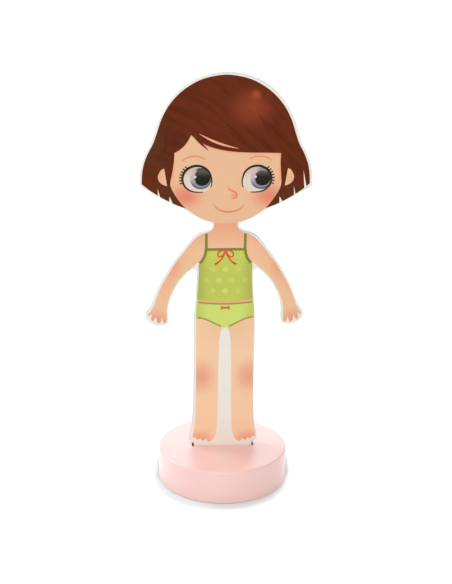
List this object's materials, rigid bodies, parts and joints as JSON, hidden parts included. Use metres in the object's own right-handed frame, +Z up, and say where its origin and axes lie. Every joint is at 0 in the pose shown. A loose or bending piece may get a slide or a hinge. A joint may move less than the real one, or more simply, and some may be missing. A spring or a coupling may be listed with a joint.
{
  "type": "wooden dress-up doll",
  "caption": "Flat wooden dress-up doll with a printed girl figure and a white border, its tab standing in the slot of a round painted wooden stand.",
  "frame": {"origin": "centre of the stand's underside", "axes": "+Z up along the figure, the printed front faces -Y, +X to the right as the front is seen"},
  "size_m": [0.095, 0.075, 0.239],
  "materials": {
    "pink_paint": "pale pink satin gloss paint on turned wood",
    "board_wood": "plywood with a white painted edge",
    "steel": "thin bare steel sheet",
    "white_paper": "smooth coated white paper",
    "skin_ink": "printed peach with soft blushes",
    "hair_ink": "printed chestnut brown with streaks",
    "hair_strand_ink": "printed dark brown",
    "eye_line_ink": "printed near black",
    "eye_white_ink": "printed warm white",
    "iris_ink": "printed grey violet",
    "pupil_ink": "printed black",
    "eye_glint_ink": "printed pale lilac",
    "brow_ink": "printed light brown",
    "nose_ink": "printed coral",
    "mouth_ink": "printed coral red",
    "camisole_ink": "printed lime green",
    "dot_ink": "printed pale lime",
    "trim_ink": "printed olive",
    "bow_ink": "printed coral red",
    "briefs_ink": "printed pale lime",
    "briefs_trim_ink": "printed olive",
    "briefs_bow_ink": "printed orange"
  },
  "bodies": {
    "stand": {"stand_disc": "pink_paint"},
    "figure": {"figure_board": "board_wood", "steel_sheet": "steel", "front_sheet": "white_paper", "back_sheet": "white_paper", "face_print": "skin_ink", "ears_print": "skin_ink", "body_print": "skin_ink", "legs_print": "skin_ink", "hair_print": "hair_ink", "hair_strands_print": "hair_strand_ink", "eye_outline_print": "eye_line_ink", "eye_white_print": "eye_white_ink", "iris_print": "iris_ink", "pupil_print": "pupil_ink", "eye_glint_print": "eye_glint_ink", "eyebrows_print": "brow_ink", "nose_print": "nose_ink", "mouth_print": "mouth_ink", "camisole_print": "camisole_ink", "camisole_dots_print": "dot_ink", "camisole_trim_print": "trim_ink", "camisole_bow_print": "bow_ink", "briefs_print": "briefs_ink", "briefs_trim_print": "briefs_trim_ink", "briefs_bow_print": "briefs_bow_ink"}
  },
  "joints": [
    {"name": "figure_lift", "type": "slide", "parent": "stand", "child": "figure", "axis": [0, 0, 1], "range_m": [0, 0.015]}
  ]
}
